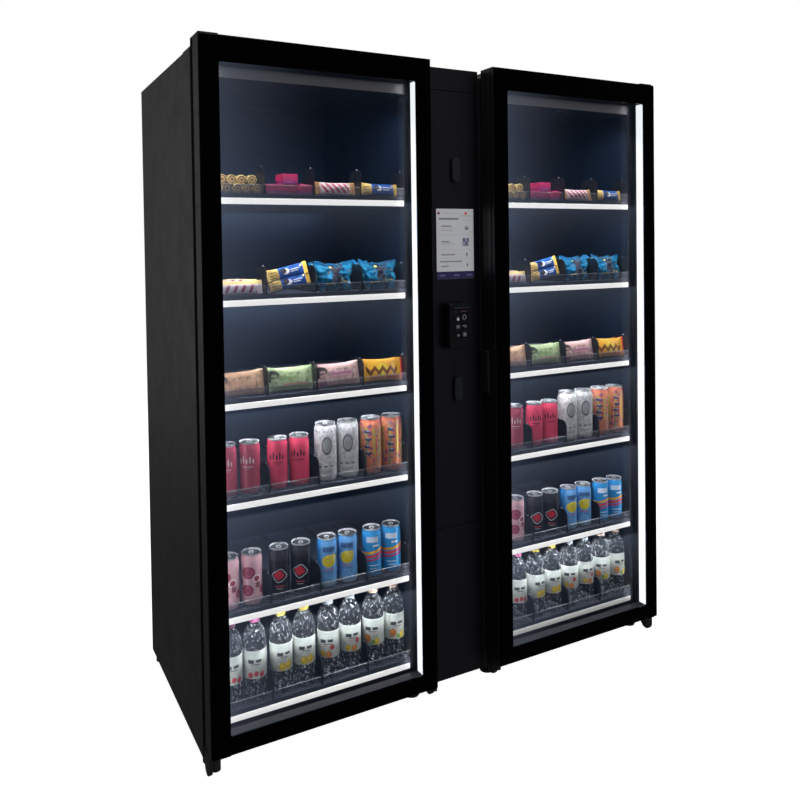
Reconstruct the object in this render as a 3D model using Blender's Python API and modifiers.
"""Snack vending machine: two refrigerated glass-door cabinets joined by a control column.

Units are metres.  X runs along the front from the left cabinet to the right one, -Y faces the
customer and Z is up, with the origin on the floor under the middle of the machine.  Both cabinets
are the same on either side of X = 0, so their x sizes are distances from that plane.
"""
import math

import bmesh
import bpy
from mathutils import Matrix, Vector

NAME = "snack_vending_machine"
GAP = 0.0003                      # clearance between parts that touch
THROUGH = 0.010                   # how far a cutter runs past the face it cuts
SIDES = {"left": -1, "right": 1}

# Whole machine
WIDTH = 1.600
DEPTH = 0.750
FRONT = -DEPTH / 2
BACK = DEPTH / 2
CABINET_BOTTOM = 0.0275
CABINET_TOP = 1.925
OUTER = WIDTH / 2

# Doors
DOOR_WIDTH = 0.6875
DOOR_HEIGHT = 1.880
DOOR_DEPTH = 0.070
DOOR_BOTTOM = 0.065
DOOR_TOP = DOOR_BOTTOM + DOOR_HEIGHT
DOOR_BACK = FRONT + DOOR_DEPTH
INNER = OUTER - DOOR_WIDTH        # the doors' free edges and the cabinets' inner sides
GLASS = 0.005
INNER_GLASS = 0.004
INNER_GLASS_FRONT = FRONT + 0.0585
FRAME_SIDE = 0.038
FRAME_TOP = 0.056
FRAME_BOTTOM = 0.038
HINGE_INSET = 0.020
HINGE_BEHIND = 0.035
PIN_RADIUS = 0.0055
PIN_LENGTH = 0.028
END_CAP_INSET = 0.049             # the rounded caps under the doors' corners, behind the front
END_CAP_RADIUS = 0.023

# Cabinets
CABINET_FRONT = FRONT + 0.0855
WALL = 0.045
CEILING = 0.042
FLOOR = 0.0725
LINER = 0.0017
SHELF_HEIGHTS = (1.457, 1.180, 0.900, 0.628, 0.319,
                 0.050)   # light strip centres above the door's bottom
SHELF_DECK = 0.0205               # top of the deck above the strip's centre
SHELF_LIP = 0.0095                # bottom of the front lip below the strip's centre
SHELF_FRONT = FRONT + 0.076
SHELF_INSET = 0.050               # shelf ends in from the cabinet's sides
SHELF_BACK = 0.225
SHEET = 0.0015

# Control column
COLUMN_HALF = INNER - GAP
COLUMN_FRONT = FRONT + 0.088
COLUMN_BOTTOM = CABINET_BOTTOM
COLUMN_OPENING_HALF = 0.1005
PANEL_DEPTH = 0.018
SEAM = 0.0015
LOWER_SEAM = DOOR_BOTTOM + 0.442
UPPER_SEAM = DOOR_BOTTOM + 1.810
SERVICE_HINGE_X = -0.0985          # on the door's front edge, so that its folded sides clear the jamb
SCREEN_X = 0.0207
SCREEN_Z = DOOR_BOTTOM + 1.334
SCREEN_WIDTH = 0.139
SCREEN_HEIGHT = 0.220
READER_X = 0.0114
READER_Z = DOOR_BOTTOM + 1.081
READER_WIDTH = 0.086
READER_HEIGHT = 0.139
READER_DEPTH = 0.045
HANDLE_X = 0.0216
UPPER_HANDLE_Z = DOOR_BOTTOM + 1.565
LOWER_HANDLE_Z = DOOR_BOTTOM + 0.878
HANDLE_WIDTH = 0.030
HANDLE_HEIGHT = 0.078
HANDLE_DEPTH = 0.012

SEGMENTS = 24


# ---------------------------------------------------------------- scene and materials

def clear_scene():
    for obj in list(bpy.data.objects):
        bpy.data.objects.remove(obj, do_unlink=True)


def make_collection(name):
    collection = bpy.data.collections.get(name) or bpy.data.collections.new(name)
    if collection.name not in bpy.context.scene.collection.children:
        bpy.context.scene.collection.children.link(collection)
    return collection


def make_material(name, color, roughness, metallic=0.0):
    material = bpy.data.materials.new(name)
    material.use_nodes = True
    shader = material.node_tree.nodes["Principled BSDF"]
    shader.inputs["Base Color"].default_value = (*color, 1.0)
    shader.inputs["Roughness"].default_value = roughness
    shader.inputs["Metallic"].default_value = metallic
    material.diffuse_color = (*color, 1.0)
    return material


clear_scene()
PARTS = make_collection(NAME)
CUTTERS = make_collection(NAME + "_cutters")
BLACK_STEEL = make_material("black_coated_steel", (0.030, 0.028, 0.031), 0.55)
COLUMN_STEEL = make_material("column_coated_steel", (0.045, 0.044, 0.055), 0.50)
LINER_STEEL = make_material("liner_coated_steel", (0.10, 0.12, 0.17), 0.45)
SHELF_STEEL = make_material("shelf_coated_steel", (0.25, 0.26, 0.29), 0.40)
FRAME_ALUMINIUM = make_material("frame_aluminium", (0.055, 0.053, 0.060), 0.38, 0.8)
GLASS_CLEAR = make_material("door_glass", (0.02, 0.02, 0.025), 0.05)
RUBBER = make_material("gasket_rubber", (0.010, 0.010, 0.011), 0.80)
LIGHT = make_material("light_diffuser", (0.90, 0.92, 1.00), 0.40)
PLASTIC = make_material("black_plastic", (0.015, 0.015, 0.017), 0.35)
HANDLE_GREY = make_material("handle_grey", (0.16, 0.16, 0.18), 0.45)
STEEL = make_material("plated_steel", (0.45, 0.45, 0.47), 0.35, 1.0)
FIN_METAL = make_material("condenser_fins", (0.35, 0.36, 0.38), 0.40, 1.0)
SCREEN_GLASS = make_material("screen_glass", (0.55, 0.57, 0.60), 0.10)


# ---------------------------------------------------------------- modelling helpers

def add_object(name, mesh, location, material, collection=None):
    obj = bpy.data.objects.new(name, mesh)
    obj.location = location
    (collection or PARTS).objects.link(obj)
    if material:
        mesh.materials.append(material)
    return obj


def mesh_from(bm, name):
    mesh = bpy.data.meshes.new(name)
    bm.to_mesh(mesh)
    bm.free()
    return mesh


def add_bevel(obj, width, segments=1):
    bevel = obj.modifiers.new("edges", "BEVEL")
    bevel.width = width
    bevel.segments = segments
    bevel.limit_method = "ANGLE"
    bevel.harden_normals = False
    return obj


def box(name, low, high, material=None, bevel=0.0, collection=None):
    """A box between two corners, with its origin at its centre."""
    low = Vector(low)
    high = Vector(high)
    bm = bmesh.new()
    bmesh.ops.create_cube(bm, size=1.0)
    bmesh.ops.scale(bm, vec=high - low, verts=bm.verts)
    obj = add_object(name, mesh_from(bm, name), (low + high) / 2, material, collection)
    if bevel:
        add_bevel(obj, bevel)
    return obj


def boxes(name, corners, material=None, collection=None):
    """Several boxes in one mesh, with the origin at the world's."""
    bm = bmesh.new()
    for low, high in corners:
        size = Vector(high) - Vector(low)
        middle = (Vector(high) + Vector(low)) / 2
        matrix = Matrix.Translation(middle) @ Matrix.Diagonal((*size, 1.0))
        bmesh.ops.create_cube(bm, size=1.0, matrix=matrix)
    return add_object(name, mesh_from(bm, name), (0, 0, 0), material, collection)


def corners(side, near, far, y, z):
    """Corners of a box that spans near to far from the middle plane, on one side of it."""
    x = sorted((side * near, side * far))
    return (x[0], y[0], z[0]), (x[1], y[1], z[1])


AXIS_TURN = {
    "Z": Matrix.Identity(4),
    "Y": Matrix.Rotation(math.radians(-90), 4, "X"),
    "X": Matrix.Rotation(math.radians(90), 4, "Y"),
}


def cylinder(name, centre, axis, radius, length, material=None, collection=None, segments=SEGMENTS):
    bm = bmesh.new()
    bmesh.ops.create_cone(bm, cap_ends=True, segments=segments, radius1=radius, radius2=radius,
                          depth=length, matrix=AXIS_TURN[axis])
    mesh = mesh_from(bm, name)
    mesh.shade_smooth()
    mesh.set_sharp_from_angle(angle=math.radians(40))
    return add_object(name, mesh, centre, material, collection)


def turned(name, profile, location, material, steps=SEGMENTS):
    """A profile of (radius, height) points from the top of the axis to the bottom, turned round Z."""
    bm = bmesh.new()
    points = [bm.verts.new((radius, 0.0, height)) for radius, height in profile]
    for start, end in zip(points, points[1:]):
        bm.edges.new((start, end))
    obj = add_object(name, mesh_from(bm, name), location, material)
    screw = obj.modifiers.new("turn", "SCREW")
    screw.axis = "Z"
    screw.steps = steps
    screw.render_steps = steps
    screw.use_merge_vertices = True
    screw.merge_threshold = 0.00005
    screw.use_smooth_shade = True
    return obj


def obround(name, centre, width, height, depth, material, corner_points=8):
    """An upright slot shape in the XZ plane, made as a filled outline that is extruded along Y."""
    curve = bpy.data.curves.new(name, "CURVE")
    curve.dimensions = "2D"
    curve.fill_mode = "BOTH"
    curve.extrude = depth / 2
    radius = width / 2
    straight = height / 2 - radius
    outline = []
    for end, start_angle in ((1, 0.0), (-1, math.pi)):
        for step in range(corner_points + 1):
            angle = start_angle + math.pi * step / corner_points
            outline.append((radius * math.cos(angle), end * straight + radius * math.sin(angle)))
    spline = curve.splines.new("POLY")
    spline.points.add(len(outline) - 1)
    for point, (x, y) in zip(spline.points, outline):
        point.co = (x, y, 0.0, 1.0)
    spline.use_cyclic_u = True
    shape = bpy.data.objects.new(name + "_outline", curve)
    shape.rotation_euler = (math.radians(90), 0.0, 0.0)
    shape.location = centre
    CUTTERS.objects.link(shape)
    return meshed(shape, name, material)


def meshed(shape, name, material):
    """Turns a curve object into a mesh object with its caps welded."""
    bpy.context.view_layer.update()
    evaluated = shape.evaluated_get(bpy.context.evaluated_depsgraph_get())
    mesh = bpy.data.meshes.new_from_object(evaluated)
    bm = bmesh.new()
    bm.from_mesh(mesh)
    bmesh.ops.remove_doubles(bm, verts=bm.verts, dist=0.00005)
    bm.to_mesh(mesh)
    bm.free()
    obj = add_object(name, mesh, (0, 0, 0), material)
    obj.matrix_world = shape.matrix_world
    bpy.data.objects.remove(shape, do_unlink=True)
    return obj


def boolean(target, tool, operation):
    """Cuts or joins with a tool object, which is kept as a hidden guide that follows its target."""
    for collection in list(tool.users_collection):
        collection.objects.unlink(tool)
    CUTTERS.objects.link(tool)
    tool.hide_render = True
    tool.display_type = "WIRE"
    bpy.context.view_layer.update()
    tool.parent = target
    tool.matrix_parent_inverse = target.matrix_world.inverted()
    modifier = target.modifiers.new(operation.lower(), "BOOLEAN")
    modifier.operation = operation
    modifier.solver = "EXACT"
    modifier.object = tool
    return target


def cut(target, tool):
    return boolean(target, tool, "DIFFERENCE")


def join(target, tool):
    return boolean(target, tool, "UNION")


def make_pivot(name, location):
    pivot = bpy.data.objects.new(name, None)
    pivot.location = location
    pivot.empty_display_size = 0.05
    PARTS.objects.link(pivot)
    return pivot


def hang(pivot, *pieces):
    """Puts pieces on a pivot without moving them."""
    bpy.context.view_layer.update()
    for piece in pieces:
        piece.parent = pivot
        piece.matrix_parent_inverse = pivot.matrix_world.inverted()


# ---------------------------------------------------------------- cabinets

def shelf_levels():
    return [DOOR_BOTTOM + height for height in SHELF_HEIGHTS]


def foot_places(side):
    inset = 0.030
    depths = (CABINET_FRONT + inset, BACK - inset)
    return [(side * x, y) for x in (OUTER - inset, INNER + inset) for y in depths]


def make_cabinet_shell(prefix, side):
    """Insulated steel casing, open to the front, with threaded holes for the feet."""
    shell = box(prefix + "_cabinet_shell",
                *corners(side, INNER, OUTER, (CABINET_FRONT, BACK), (CABINET_BOTTOM, CABINET_TOP)),
                BLACK_STEEL, 0.0015)
    cut(shell, box("cavity", *corners(side, INNER + WALL, OUTER - WALL, (CABINET_FRONT - THROUGH,
                                                                         BACK - WALL),
                                      (CABINET_BOTTOM + FLOOR, CABINET_TOP - CEILING))))
    recess = 0.003
    border = 0.060
    cut(shell, box("back_recess", *corners(side, INNER + border, OUTER - border, (BACK - recess,
                                                                                  BACK + THROUGH),
                                           (CABINET_BOTTOM + border, CABINET_TOP - border))))
    for x, y in foot_places(side):
        cut(shell, cylinder("foot_hole", (x, y, CABINET_BOTTOM), "Z", 0.0062, 0.130, segments=12))
    return shell


def make_liner(prefix, side):
    """Thin inner lining with a pair of ledges under each shelf."""
    near = INNER + WALL + GAP
    far = OUTER - WALL - GAP
    bottom = CABINET_BOTTOM + FLOOR + GAP
    top = CABINET_TOP - CEILING - GAP
    back = BACK - WALL - GAP
    liner = box(prefix + "_liner", *corners(side, near, far, (CABINET_FRONT + GAP, back),
                                            (bottom, top)), LINER_STEEL)
    cut(liner, box("liner_cavity", *corners(side, near + LINER, far - LINER, (CABINET_FRONT - THROUGH,
                                                                              back - LINER),
                                            (bottom + LINER, top - LINER))))
    ledge = 0.009
    thick = 0.006
    rows = []
    for level in shelf_levels()[:-1]:
        z = (level - SHELF_LIP - GAP - thick, level - SHELF_LIP - GAP)
        y = (SHELF_FRONT + 0.030, SHELF_BACK - 0.010)
        rows.append(corners(side, near + LINER / 2, near + LINER + ledge, y, z))
        rows.append(corners(side, far - LINER - ledge, far - LINER / 2, y, z))
    return join(liner, boxes("shelf_ledges", rows))


def make_shelf(prefix, side, number, level):
    """Folded steel deck whose front lip holds the light strip."""
    near = INNER + SHELF_INSET
    far = OUTER - SHELF_INSET
    shelf = box("%s_shelf_%d" % (prefix, number),
                *corners(side, near, far, (SHELF_FRONT, SHELF_BACK), (level - SHELF_LIP,
                                                                      level + SHELF_DECK)),
                SHELF_STEEL, 0.001)
    lip = 0.010
    cut(shelf, box("shelf_hollow", *corners(side, near + SHEET, far - SHEET, (SHELF_FRONT + lip,
                                                                              SHELF_BACK - SHEET),
                                            (level - SHELF_LIP - THROUGH, level + SHELF_DECK - 0.002))))
    return shelf


TRAY_TOP = CABINET_TOP - CEILING - GAP - LINER - GAP
TRAY_BOTTOM = DOOR_BOTTOM + 1.786
TRAY_BACK = 0.200
FAN_Y = 0.080
FAN_RADIUS = 0.068


def cabinet_middle(side):
    return side * (INNER + OUTER) / 2


def make_evaporator_cover(prefix, side):
    """Tray under the ceiling for the chilled air, with a valance at the front and a fan opening."""
    near = INNER + SHELF_INSET - 0.002
    far = OUTER - SHELF_INSET
    cover = box(prefix + "_evaporator_cover",
                *corners(side, near, far, (FRONT + 0.078, TRAY_BACK), (TRAY_BOTTOM, TRAY_TOP)),
                SHELF_STEEL)
    cut(cover, box("tray_hollow", *corners(side, near + SHEET, far - SHEET, (FRONT + 0.078 + SHEET,
                                                                             TRAY_BACK + THROUGH),
                                           (TRAY_BOTTOM + SHEET, TRAY_TOP + THROUGH))))
    cut(cover, cylinder("fan_opening", (cabinet_middle(side), FAN_Y, TRAY_BOTTOM), "Z",
                        FAN_RADIUS + 0.006, 0.020))
    return cover


def make_fan(name, centre, axis, radius, depth, shaft, blades=5):
    """Axial fan rotor: a hub on a shaft, with flat pitched blades."""
    hub = cylinder(name, centre, axis, radius * 0.34, depth, PLASTIC)
    bm = bmesh.new()
    pitch = math.radians(32)
    inner = radius * 0.25
    width = radius * 0.62
    for number in range(blades):
        size = Matrix.Diagonal((radius - inner, width, 0.0022, 1.0))
        matrix = Matrix.Rotation(2 * math.pi * number / blades, 4, "Z")
        matrix = matrix @ Matrix.Translation(((radius + inner) / 2, 0.0, 0.0))
        matrix = matrix @ Matrix.Rotation(pitch * min(1.0, depth / width), 4, "X")
        bmesh.ops.create_cube(bm, size=1.0, matrix=AXIS_TURN[axis] @ matrix @ size)
    join(hub, add_object(name + "_blades", mesh_from(bm, name + "_blades"), centre, None))
    start, end = shaft
    middle = Vector(centre)
    direction = Vector((AXIS_TURN[axis] @ Vector((0, 0, 1, 0)))[:3])
    rod = cylinder(name + "_shaft", middle + direction * (start + end) / 2, axis, 0.004,
                   abs(end - start), segments=12)
    return join(hub, rod)


def make_camera(prefix, side):
    """Downward camera bar with two lenses, under the middle of the valance."""
    middle = cabinet_middle(side)
    z = TRAY_BOTTOM - GAP
    y = FRONT + 0.078 + 0.014
    half = 0.030
    camera = box(prefix + "_camera", (middle - half, y - 0.009, z - 0.009), (middle + half, y + 0.009,
                                                                             z), PLASTIC, 0.0015)
    for offset in (-0.016, 0.016):
        join(camera, cylinder("lens", (middle + offset, y, z - 0.010), "Z", 0.0065, 0.010, segments=16))
    return camera


def make_lock_magnet(prefix, side):
    """Electromagnetic lock on the cabinet's top, facing the back of the door."""
    return box(prefix + "_lock_magnet",
               *corners(side, INNER + 0.014, INNER + 0.174, (DOOR_BACK + GAP, DOOR_BACK + 0.052),
                        (CABINET_TOP + GAP, DOOR_TOP - 0.003)), STEEL, 0.0015)


def make_foot(name, x, y):
    """Levelling foot: a round pad, a nut and a threaded stud up into the casing."""
    stud = 0.082
    nut = CABINET_BOTTOM - GAP
    profile = [(0.0, stud), (0.0055, stud), (0.0055, nut), (0.011, nut), (0.011, nut - 0.010),
               (0.017, 0.0125), (0.024, 0.006), (0.024, 0.0), (0.0, 0.0)]
    return turned(name, profile, (x, y, 0.0), STEEL, 16)


HINGE_X = OUTER - HINGE_INSET
HINGE_Y = FRONT + HINGE_BEHIND
BRACKET_NEAR = OUTER - 0.055
BRACKET_FAR = OUTER - 0.003
BRACKET_FRONT = FRONT + 0.012
TOP_BRACKET_BACK = -0.200
PLATE = 0.004


def make_top_hinge(prefix, side):
    """Stepped bracket on the cabinet's top that reaches over the door to the pivot pin."""
    riser = DOOR_BACK + 0.020
    bottom = DOOR_TOP + 2 * GAP
    bracket = box(prefix + "_hinge_top",
                  *corners(side, BRACKET_NEAR, BRACKET_FAR, (BRACKET_FRONT, riser + PLATE),
                           (bottom, bottom + PLATE)),
                  BLACK_STEEL)
    join(bracket, box("riser", *corners(side, BRACKET_NEAR, BRACKET_FAR, (riser, riser + PLATE),
                                        (CABINET_TOP + GAP, bottom + PLATE / 2))))
    join(bracket, box("base", *corners(side, BRACKET_NEAR, BRACKET_FAR, (riser + PLATE / 2,
                                                                         TOP_BRACKET_BACK),
                                       (CABINET_TOP + GAP, CABINET_TOP + GAP + PLATE))))
    pin_middle = bottom + PLATE / 2 - PIN_LENGTH / 2
    return join(bracket, cylinder("pin", (side * HINGE_X, HINGE_Y, pin_middle), "Z", PIN_RADIUS,
                                  PIN_LENGTH, segments=16))


def make_bottom_hinge(prefix, side):
    """Bracket on the casing's front under the door: a plate with the pin, a boss and a cheek."""
    top = DOOR_BOTTOM - GAP
    back = CABINET_FRONT - GAP
    plate = 0.006
    bracket = box(prefix + "_hinge_bottom",
                  *corners(side, BRACKET_NEAR, BRACKET_FAR, (BRACKET_FRONT, back), (top - plate, top)),
                  BLACK_STEEL)
    join(bracket, box("leg", *corners(side, BRACKET_NEAR, BRACKET_FAR, (back - PLATE, back),
                                      (CABINET_BOTTOM + 0.003, top - plate / 2))))
    cheek = 0.010
    cheek_end = 0.028
    cheek_y = FRONT + END_CAP_INSET
    join(bracket, cylinder("cheek_end", (side * (OUTER - cheek / 2), cheek_y, cheek_end), "X",
                           END_CAP_RADIUS, cheek))
    join(bracket, box("cheek", *corners(side, OUTER - cheek, OUTER,
                                        (cheek_y - END_CAP_RADIUS, cheek_y + END_CAP_RADIUS),
                                        (cheek_end, top))))
    boss_bottom = 0.022
    boss_top = top - plate / 2
    join(bracket, cylinder("boss", (side * HINGE_X, HINGE_Y, (boss_bottom + boss_top) / 2), "Z", 0.0130,
                           boss_top - boss_bottom, segments=20))
    return join(bracket, cylinder("pin", (side * HINGE_X, HINGE_Y, top - plate / 2 + PIN_LENGTH / 2),
                                  "Z",
                                  PIN_RADIUS, PIN_LENGTH, segments=16))


def make_cabinet(prefix, side):
    make_cabinet_shell(prefix, side)
    make_liner(prefix, side)
    for number, level in enumerate(shelf_levels(), start=1):
        make_shelf(prefix, side, number, level)
    make_evaporator_cover(prefix, side)
    fan_z = TRAY_BOTTOM + 0.013
    fan = make_fan(prefix + "_evaporator_fan", (cabinet_middle(side), FAN_Y, fan_z), "Z", FAN_RADIUS,
                   0.014,
                   (0.0, TRAY_TOP - fan_z))
    hang(make_pivot(prefix + "_evaporator_fan_axis", (cabinet_middle(side), FAN_Y, fan_z)), fan)
    make_camera(prefix, side)
    make_lock_magnet(prefix, side)
    make_top_hinge(prefix, side)
    make_bottom_hinge(prefix, side)
    for number, (x, y) in enumerate(foot_places(side), start=1):
        make_foot("%s_foot_%d" % (prefix, number), x, y)


# ---------------------------------------------------------------- doors

def make_door_frame(prefix, side):
    """Aluminium ring for both panes, grooved along its free edge, which ends in a rounded cap."""
    front = FRONT + GLASS + GAP
    frame = box(prefix + "_door_frame", *corners(side, INNER, OUTER, (front, DOOR_BACK),
                                                 (DOOR_BOTTOM, DOOR_TOP)),
                FRAME_ALUMINIUM)
    window = (DOOR_BOTTOM + FRAME_BOTTOM, DOOR_TOP - FRAME_TOP)
    cut(frame, box("window", *corners(side, INNER + FRAME_SIDE, OUTER - FRAME_SIDE,
                                      (front - THROUGH, DOOR_BACK + THROUGH), window)))
    rebate = 0.009
    cut(frame, box("rebate", *corners(side, INNER + FRAME_SIDE - rebate, OUTER - FRAME_SIDE + rebate,
                                      (INNER_GLASS_FRONT - GAP, DOOR_BACK + THROUGH),
                                      (window[0] - rebate, window[1] + rebate))))
    cap_y = FRONT + END_CAP_INSET
    cap_z = DOOR_BOTTOM - 0.014
    cap_x = side * (INNER + 0.005)
    join(frame, cylinder("end_cap", (cap_x, cap_y, cap_z), "X", END_CAP_RADIUS, 0.010))
    join(frame, box("end_cap_web", *corners(side, INNER, INNER + 0.010, (front + 0.004,
                                                                         cap_y + END_CAP_RADIUS),
                                            (cap_z + 0.002, DOOR_BOTTOM + 0.006))))
    depth = 0.003
    for groove_y, width in ((FRONT + 0.0165, 0.006), (FRONT + 0.0435, 0.003)):
        cut(frame, box("groove", *corners(side, INNER - THROUGH, INNER + depth,
                                          (groove_y, groove_y + width),
                                          (DOOR_BOTTOM + 0.012, DOOR_TOP - 0.012))))
    step_front = FRONT + 0.041
    cut(frame, box("hinge_side_step", *corners(side, OUTER - depth, OUTER + THROUGH,
                                               (step_front, DOOR_BACK + THROUGH),
                                               (DOOR_BOTTOM - THROUGH, DOOR_TOP + THROUGH))))
    for z in (DOOR_BOTTOM, DOOR_TOP):
        cut(frame, cylinder("pin_hole", (side * HINGE_X, HINGE_Y, z), "Z", PIN_RADIUS + 0.0004, 0.062,
                            segments=16))
    return frame


def make_door_glass(prefix, side):
    """Printed front pane over the whole door, and the clear rear pane in the frame's rebate."""
    inset = 0.0025
    outer = box(prefix + "_door_outer_glass",
                *corners(side, INNER + inset, OUTER - inset, (FRONT, FRONT + GLASS),
                         (DOOR_BOTTOM + inset, DOOR_TOP - inset)), GLASS_CLEAR, 0.0008)
    overlap = 0.008
    inner = box(prefix + "_door_inner_glass",
                *corners(side, INNER + FRAME_SIDE - overlap, OUTER - FRAME_SIDE + overlap,
                         (INNER_GLASS_FRONT, INNER_GLASS_FRONT + INNER_GLASS),
                         (DOOR_BOTTOM + FRAME_BOTTOM - overlap, DOOR_TOP - FRAME_TOP + overlap)),
                GLASS_CLEAR)
    return outer, inner


def make_light_bar(prefix, side):
    """Upright lamp on the frame's inner face at the free edge."""
    near = INNER + FRAME_SIDE + GAP
    return box(prefix + "_door_light_bar",
               *corners(side, near, near + 0.0135, (FRONT + 0.0075, FRONT + 0.0375),
                        (DOOR_BOTTOM + 0.050, DOOR_TOP - 0.068)), LIGHT, 0.002)


def make_gasket(prefix, side):
    """Magnetic seal between door and casing, slimmer at the hinge so that it swings clear."""
    width = 0.016
    hinge_width = 0.009
    near = INNER + 0.018
    far = HINGE_X - 0.002
    bottom = DOOR_BOTTOM + 0.010
    top = CABINET_TOP - 0.007
    y = (DOOR_BACK + GAP, CABINET_FRONT - 0.0015)
    gasket = box(prefix + "_door_gasket", *corners(side, near, far, y, (bottom, top)), RUBBER)
    return cut(gasket, box("gasket_window", *corners(side, near + width, far - hinge_width,
                                                     (y[0] - THROUGH, y[1] + THROUGH),
                                                     (bottom + width, top - width))))


def make_door_handle(prefix, side):
    """Pull plate on the door's free edge, standing proud of it."""
    proud = 0.0095
    return box(prefix + "_door_handle",
               *corners(side, INNER - proud, INNER - GAP, (FRONT + 0.034, FRONT + 0.080),
                        (DOOR_BOTTOM + 0.861, DOOR_BOTTOM + 0.994)), HANDLE_GREY, 0.002)


def make_door(prefix, side):
    pieces = [make_door_frame(prefix, side), *make_door_glass(prefix, side), make_light_bar(prefix,
                                                                                            side),
              make_gasket(prefix, side), make_door_handle(prefix, side)]
    hang(make_pivot(prefix + "_door_axis", (side * HINGE_X, HINGE_Y, DOOR_BOTTOM)), *pieces)


# ---------------------------------------------------------------- control column

BAY_HALF = COLUMN_HALF - SHEET
BAY_BACK = BACK - GAP - SHEET
BAY_FRONT = COLUMN_FRONT + SHEET


def make_column_housing():
    """Sheet channel with front flanges, a floor between its two bays and louvres in its back."""
    housing = box("column_housing", (-COLUMN_HALF, COLUMN_FRONT, COLUMN_BOTTOM),
                  (COLUMN_HALF, BACK - GAP, DOOR_TOP),
                  COLUMN_STEEL)
    bays = ((COLUMN_BOTTOM + SHEET, LOWER_SEAM - SHEET / 2), (LOWER_SEAM + SHEET / 2, DOOR_TOP - SHEET))
    for low, high in bays:
        cut(housing, box("bay", (-BAY_HALF, BAY_FRONT, low), (BAY_HALF, BAY_BACK, high)))
    cut(housing, box("front_opening", (-COLUMN_OPENING_HALF, COLUMN_FRONT - THROUGH,
                                       COLUMN_BOTTOM + SHEET),
                     (COLUMN_OPENING_HALF, BAY_FRONT + PANEL_DEPTH, DOOR_TOP - SHEET)))
    half = 0.075
    slots = [((-half, BAY_BACK - THROUGH, z), (half, BACK + THROUGH, z + 0.007))
             for z in (0.11 + 0.024 * row for row in range(14))]
    return cut(housing, boxes("louvres", slots))


def make_folded_panel(name, bottom, top):
    """Sheet panel with its four edges folded back."""
    half = COLUMN_OPENING_HALF - 0.0005
    panel = box(name, (-half, COLUMN_FRONT, bottom), (half, COLUMN_FRONT + PANEL_DEPTH, top),
                COLUMN_STEEL, 0.001)
    return cut(panel, box(name + "_hollow", (-half + SHEET, COLUMN_FRONT + SHEET, bottom + SHEET),
                          (half - SHEET, COLUMN_FRONT + PANEL_DEPTH + THROUGH, top - SHEET)))


def make_service_door():
    """Folded door with openings for the screen, the reader's wiring and the two swing-handle shafts."""
    door = make_folded_panel("service_door", LOWER_SEAM + SEAM / 2, UPPER_SEAM - SEAM / 2)
    skin = (COLUMN_FRONT - THROUGH, COLUMN_FRONT + PANEL_DEPTH / 2)
    width = SCREEN_WIDTH / 2 + GAP
    height = SCREEN_HEIGHT / 2 + GAP
    cut(door, box("screen_opening", (SCREEN_X - width, skin[0], SCREEN_Z - height), (SCREEN_X + width,
                                                                                     skin[1],
                                                                                     SCREEN_Z + height)))
    cut(door, cylinder("wiring_hole", (READER_X, COLUMN_FRONT, READER_Z), "Y", 0.0125, 0.012,
                       segments=16))
    for z in (UPPER_HANDLE_Z, LOWER_HANDLE_Z):
        cut(door, cylinder("shaft_hole", (HANDLE_X, COLUMN_FRONT, handle_pivot_z(z)), "Y", 0.0054,
                           0.012, segments=16))
    return door


def make_screen():
    """Touch screen: a flush glass front in the door's opening, on a wider module behind the skin."""
    width = SCREEN_WIDTH / 2
    height = SCREEN_HEIGHT / 2
    flange = 0.0045
    back = COLUMN_FRONT + PANEL_DEPTH + 0.006
    screen = box("screen", (SCREEN_X - width, COLUMN_FRONT - 0.0006, SCREEN_Z - height),
                 (SCREEN_X + width, back - 0.004, SCREEN_Z + height), SCREEN_GLASS)
    return join(screen, box("module", (SCREEN_X - width - flange, COLUMN_FRONT + SHEET + GAP,
                                       SCREEN_Z - height - flange),
                            (SCREEN_X + width + flange, back, SCREEN_Z + height + flange)))


def make_card_reader():
    """Payment reader that stands proud of the service door, with a wiring spigot through its skin."""
    back = COLUMN_FRONT - GAP
    reader = box("card_reader", (READER_X - READER_WIDTH / 2, back - READER_DEPTH,
                                 READER_Z - READER_HEIGHT / 2),
                 (READER_X + READER_WIDTH / 2, back, READER_Z + READER_HEIGHT / 2), PLASTIC)
    add_bevel(reader, 0.006, 3)
    return join(reader, cylinder("spigot", (READER_X, back + 0.002, READER_Z), "Y", 0.012, 0.024,
                                 segments=16))


def handle_pivot_z(middle):
    return middle + HANDLE_HEIGHT / 2 - HANDLE_WIDTH / 2


def make_swing_handle(name, middle):
    """Swing-handle lever with its shaft through the door and a cam behind it."""
    front = COLUMN_FRONT - GAP - HANDLE_DEPTH
    lever = obround(name, (HANDLE_X, front + HANDLE_DEPTH / 2, middle), HANDLE_WIDTH, HANDLE_HEIGHT,
                    HANDLE_DEPTH, HANDLE_GREY)
    add_bevel(lever, 0.002, 2)
    pivot_z = handle_pivot_z(middle)
    cam_y = COLUMN_FRONT + PANEL_DEPTH + 0.0015
    cam = 0.004
    start = front + HANDLE_DEPTH / 2
    join(lever, cylinder("shaft", (HANDLE_X, (start + cam_y + cam / 2) / 2, pivot_z), "Y", 0.005,
                         cam_y + cam / 2 - start, segments=16))
    join(lever, box("cam", (HANDLE_X - 0.009, cam_y, pivot_z - 0.009), (HANDLE_X + 0.066, cam_y + cam,
                                                                        pivot_z + 0.009)))
    pivot = make_pivot(name + "_axis", (HANDLE_X, front, pivot_z))
    hang(pivot, lever)
    return pivot


MACHINE_FLOOR = COLUMN_BOTTOM + SHEET + GAP


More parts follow.
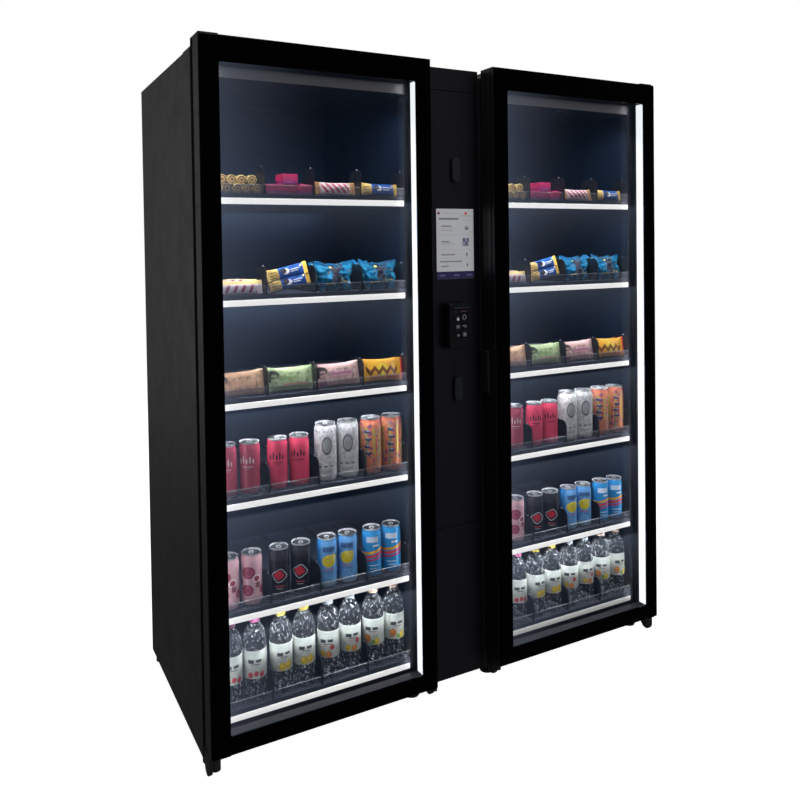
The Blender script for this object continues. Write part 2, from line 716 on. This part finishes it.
def make_compressor():
    """Hermetic compressor can on its mounting plate."""
    radius = 0.078
    base = 0.026
    profile = [(0.0, base + 0.185), (0.035, base + 0.182), (0.062, base + 0.165),
               (radius, base + 0.132),
               (radius, base + 0.045), (0.070, base + 0.018), (0.050, base), (0.0, base)]
    can = turned("compressor", profile, (0.0, 0.180, MACHINE_FLOOR), BLACK_STEEL)
    plate = box("mounting_plate", (-0.095, 0.080, MACHINE_FLOOR + 0.018), (0.095, 0.280,
                                                                           MACHINE_FLOOR + base + 0.004))
    join(can, plate)
    feet = [cylinder("mount", (x, y, MACHINE_FLOOR + 0.011), "Z", 0.011, 0.022, segments=12)
            for x in (-0.075, 0.075) for y in (0.100, 0.260)]
    for foot in feet:
        join(can, foot)
    return can


CONDENSER_Z = (MACHINE_FLOOR, MACHINE_FLOOR + 0.215)


def make_condenser():
    """Finned condenser block that stands behind the lower panel."""
    half = 0.095
    front = -0.235
    back = front + 0.060
    block = box("condenser_coil", (-half, front, CONDENSER_Z[0]), (half, back, CONDENSER_Z[1]),
                FIN_METAL)
    pitch = 0.0095
    count = int(2 * (half - 0.006) / pitch)
    start = -pitch * (count - 1) / 2
    slots = [((start + pitch * n - 0.003, front - THROUGH, CONDENSER_Z[0] + 0.008),
              (start + pitch * n + 0.003, front + 0.022, CONDENSER_Z[1] - 0.008)) for n in range(count)]
    return cut(block, boxes("fin_gaps", slots))


def make_controller_box():
    """Control electronics on the column's left wall, behind the service door."""
    low_x = -BAY_HALF + GAP
    case = box("controller_box", (low_x, -0.180, 1.120), (low_x + 0.058, 0.120, 1.420), HANDLE_GREY,
               0.002)
    ports = [((low_x + 0.010, y, 1.120 - THROUGH), (low_x + 0.030, y + 0.020, 1.132)) for y in (-0.14,
                                                                                                -0.09,
                                                                                                -0.04,
                                                                                                0.01,
                                                                                                0.06)]
    return cut(case, boxes("ports", ports))


def make_column():
    make_column_housing()
    make_folded_panel("column_top_panel", UPPER_SEAM + SEAM / 2, DOOR_TOP - SHEET - 0.0005)
    make_folded_panel("lower_panel", COLUMN_BOTTOM + SHEET + 0.0005, LOWER_SEAM - SEAM / 2)
    hinge = make_pivot("service_door_axis", (SERVICE_HINGE_X, COLUMN_FRONT + 0.001, LOWER_SEAM))
    hang(hinge, make_service_door(), make_screen(), make_card_reader(),
         make_swing_handle("swing_handle_upper", UPPER_HANDLE_Z),
         make_swing_handle("swing_handle_lower", LOWER_HANDLE_Z))
    make_compressor()
    make_condenser()
    fan_centre = (0.0, -0.150, MACHINE_FLOOR + 0.108)
    fan = make_fan("condenser_fan", fan_centre, "Y", 0.085, 0.022, (-0.0247, 0.030))
    hang(make_pivot("condenser_fan_axis", fan_centre), fan)
    make_controller_box()


def main():
    for prefix, side in SIDES.items():
        make_cabinet(prefix, side)
        make_door(prefix, side)
    make_column()
    bpy.context.view_layer.update()


main()
